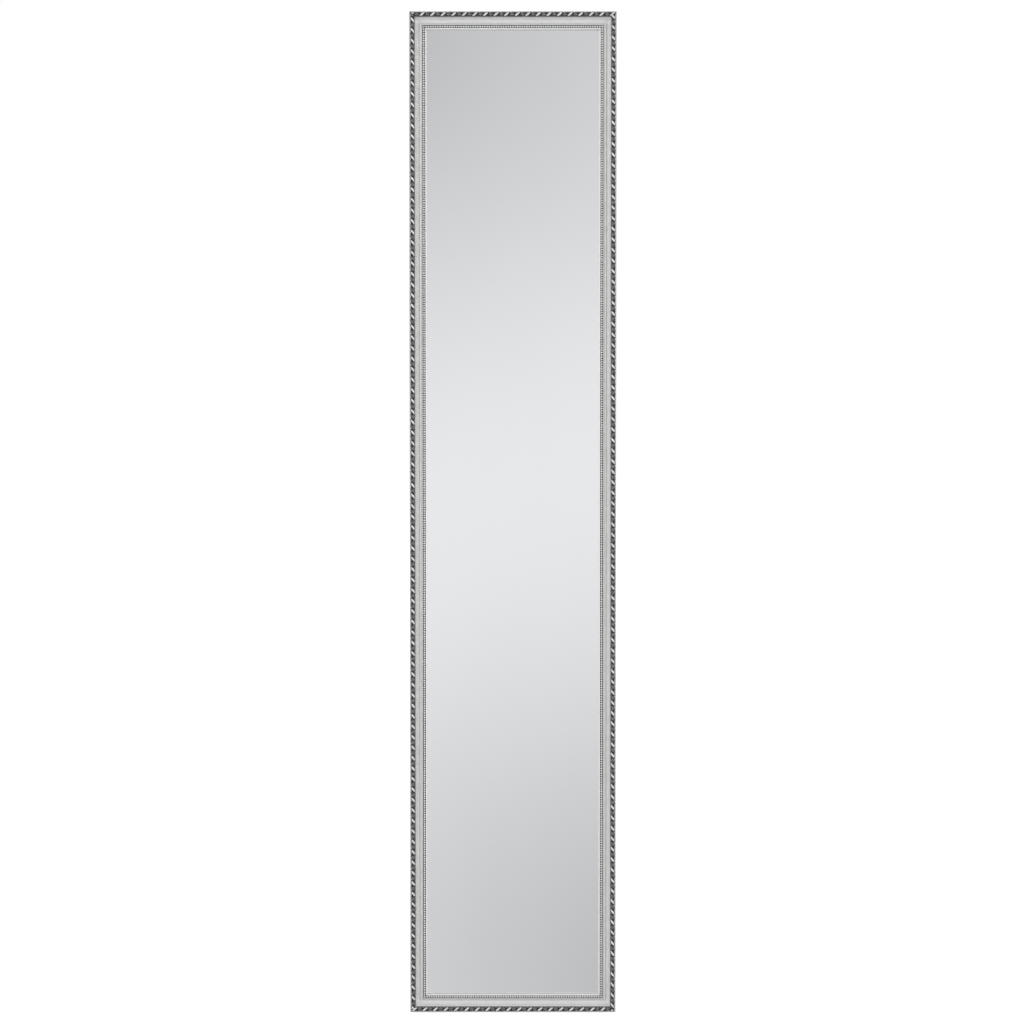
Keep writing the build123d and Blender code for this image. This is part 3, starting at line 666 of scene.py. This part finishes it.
# Half of the crowned section, 18 mm wide, from one selvedge to the other
ribbon = [(-9.0, 0.0), (-8.6, 0.42), (-7.6, 0.5), (-4, 0.46), (0, 0.44)]
ribbon += [(4, 0.46), (7.6, 0.5), (8.6, 0.42), (9.0, 0.0)]
ribbon += [(-a, -b) for a, b in ribbon[1:-1]]
points, run, across = [], [], []
for place, normal, distance in zip(strap_path, strap_normal, run_length):
    for a, b in ribbon:
        points.append((a, place[0] + normal[0] * b, place[1] + normal[1] * b))
        run.append(distance * MM)
        across.append(a * MM)
faces = tube_faces(len(strap_path), len(ribbon))
strap = make_piece("woven_strap", points, faces, WEBBING, {"run": run, "across": across})
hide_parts("limit_strap")
strap_root = to_world([(0, STRAP_THICKNESS / 2, STRAP_RAIL_HEIGHT)])[0]
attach(strap, "mirror")
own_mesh(strap)

# Floor

FLOOR_REACH = 12.0
FLOOR_GLOW = 0.81
floor_corners = [(FLOOR_REACH * x, FLOOR_REACH * y, 0) for x, y in ((-1, -1), (1, -1), (1, 1), (-1, 1))]
mesh = bpy.data.meshes.new("studio_floor")
mesh.from_pydata(floor_corners, [], [(0, 1, 2, 3)])
floor = bpy.data.objects.new("studio_floor", mesh)
bpy.context.scene.collection.objects.link(floor)
made, g = material("pale_floor")
path = g.node("ShaderNodeLightPath").outputs
paint = g.node("ShaderNodeBsdfDiffuse", {"Color": (0.42, 0.42, 0.42, 1)}).outputs[0]
glow = g.node("ShaderNodeEmission", {"Color": (1, 1, 1, 1), "Strength": FLOOR_GLOW}).outputs[0]
seen = g.node("ShaderNodeAddShader")
g.put(seen.inputs[0], paint)
g.put(seen.inputs[1], glow)
plain = g.node("ShaderNodeBsdfDiffuse", {"Color": (0.80, 0.80, 0.80, 1)}).outputs[0]
clear = g.node("ShaderNodeBsdfTransparent").outputs[0]
lit = g.node("ShaderNodeMixShader", {"Fac": path["Is Camera Ray"]})
g.put(lit.inputs[1], plain)
g.put(lit.inputs[2], seen.outputs[0])
through = g.math("MAXIMUM", path["Is Glossy Ray"], path["Is Transmission Ray"])
whole = g.node("ShaderNodeMixShader", {"Fac": through})
g.put(whole.inputs[1], lit.outputs[0])
g.put(whole.inputs[2], clear)
end = g.node("ShaderNodeOutputMaterial")
g.put(end.inputs["Surface"], whole.outputs[0])
mesh.materials.append(made)

# Studio: a white backdrop for the camera and an even grey room, darker above and below, for the metal and the glass.
# REACH_UP and REACH_ACROSS are the tangents at the ends of what the glass shows of the room.

ROOM_LEVEL = 0.822
END_FALL = 0.246
CORNER_FALL = 0.046
REACH_UP = 0.3515
REACH_ACROSS = 0.0562
GREEN_SHARE = 1.006
BLUE_SHARE = 1.016
AMBIENT = 0.62

world = bpy.data.worlds.new("studio")
bpy.context.scene.world = world
world.use_nodes = True
g = Graph(world.node_tree)
direction = g.node("ShaderNodeTexCoord").outputs["Generated"]
rise = g.dot(direction, tuple(UP))
out = g.math("MAXIMUM", g.math("ABSOLUTE", g.dot(direction, tuple(NORMAL))), 0.02)
aside = g.math("DIVIDE", g.dot(direction, (1, 0, 0)), out)
height = g.math("DIVIDE", rise, out)
v = g.math("MINIMUM", g.math("MAXIMUM", g.math("DIVIDE", height, -REACH_UP), -1.0), 1.0)
u = g.math("MINIMUM", g.math("MAXIMUM", g.math("DIVIDE", aside, REACH_ACROSS), -1.2), 1.2)
fall = g.math("MULTIPLY", g.math("SUBTRACT", 1.0, g.math("COSINE", g.math("MULTIPLY", v, math.pi))), 0.5)
beside = g.span(g.math("ABSOLUTE", g.dot(direction, (1, 0, 0))), 0.08, 0.25, 1.0, 0.0)
room = g.math("SUBTRACT", ROOM_LEVEL, g.math("MULTIPLY", g.math("MULTIPLY", fall, END_FALL), beside))
room = g.math("SUBTRACT", room, g.math("MULTIPLY", g.math("MULTIPLY", u, v), CORNER_FALL))
room = g.math("MULTIPLY", room, g.span(out, 0.92, 0.70, 1.0, 0.94))
room = g.math("MULTIPLY", room, g.span(g.math("ABSOLUTE", rise), 0.55, 1.0, 1.0, 0.55))
path = g.node("ShaderNodeLightPath").outputs
reflected = g.math("MAXIMUM", path["Is Glossy Ray"], path["Is Transmission Ray"])
ambient = g.node("ShaderNodeBackground", {"Color": (1, 1, 1, 1), "Strength": AMBIENT}).outputs[0]
green, blue = g.math("MULTIPLY", room, GREEN_SHARE), g.math("MULTIPLY", room, BLUE_SHARE)
tint = g.node("ShaderNodeCombineColor", {"Red": room, "Green": green, "Blue": blue})
studio = g.node("ShaderNodeBackground", {"Color": tint.outputs[0], "Strength": 1.0}).outputs[0]
white = g.node("ShaderNodeBackground", {"Color": (1, 1, 1, 1), "Strength": 1.0}).outputs[0]
first = g.node("ShaderNodeMixShader", {"Fac": reflected})
g.put(first.inputs[1], ambient)
g.put(first.inputs[2], studio)
second = g.node("ShaderNodeMixShader", {"Fac": path["Is Camera Ray"]})
g.put(second.inputs[1], first.outputs[0])
g.put(second.inputs[2], white)
g.put(g.node("ShaderNodeOutputWorld").inputs["Surface"], second.outputs[0])


def soft_light(name, place, target, size, power):
    """A square lamp that no glossy surface shows."""
    data = bpy.data.lights.new(name, "AREA")
    data.shape = "SQUARE"
    data.size = size
    data.energy = power
    lamp = bpy.data.objects.new(name, data)
    lamp.location = place
    lamp.rotation_mode = "QUATERNION"
    lamp.rotation_quaternion = (Vector(target) - Vector(place)).to_track_quat("-Z", "Y")
    lamp.visible_glossy = False
    bpy.context.scene.collection.objects.link(lamp)


MIDDLE = (0, 0, 0.8)
soft_light("front_left_softbox", (-2.6, -2.6, 2.6), MIDDLE, 2.4, 58)
soft_light("front_right_softbox", (3.0, -1.8, 1.6), MIDDLE, 2.4, 42)
soft_light("rear_softbox", (1.6, 3.2, 2.6), MIDDLE, 2.0, 60)
soft_light("top_softbox", (0, 0.3, 3.4), MIDDLE, 2.0, 30)

# Camera: aimed at the middle of the frame's face, from a little above the mirror's normal

PICTURE_SIZE = 1024
SCALE_PLANE = 18.5
CAMERA_DISTANCE = 2.273
CAMERA_RISE = math.radians(0.955)
target = Vector(to_world([(0, -SCALE_PLANE, FRAME_HEIGHT / 2)])[0])
elevation = LEAN + CAMERA_RISE
camera_data = bpy.data.cameras.new("camera")
camera_data.lens = 50
camera_data.sensor_width = 36
camera_data.shift_x = -0.92 / PICTURE_SIZE
camera_data.shift_y = 2.55 / PICTURE_SIZE
camera = bpy.data.objects.new("camera", camera_data)
back = Vector((0, -math.cos(elevation), math.sin(elevation)))
camera.location = target + back * CAMERA_DISTANCE
camera.rotation_mode = "QUATERNION"
camera.rotation_quaternion = (-back).to_track_quat("-Z", "Y")
bpy.context.scene.collection.objects.link(camera)
bpy.context.scene.camera = camera

bpy.context.scene.view_settings.view_transform = "Standard"
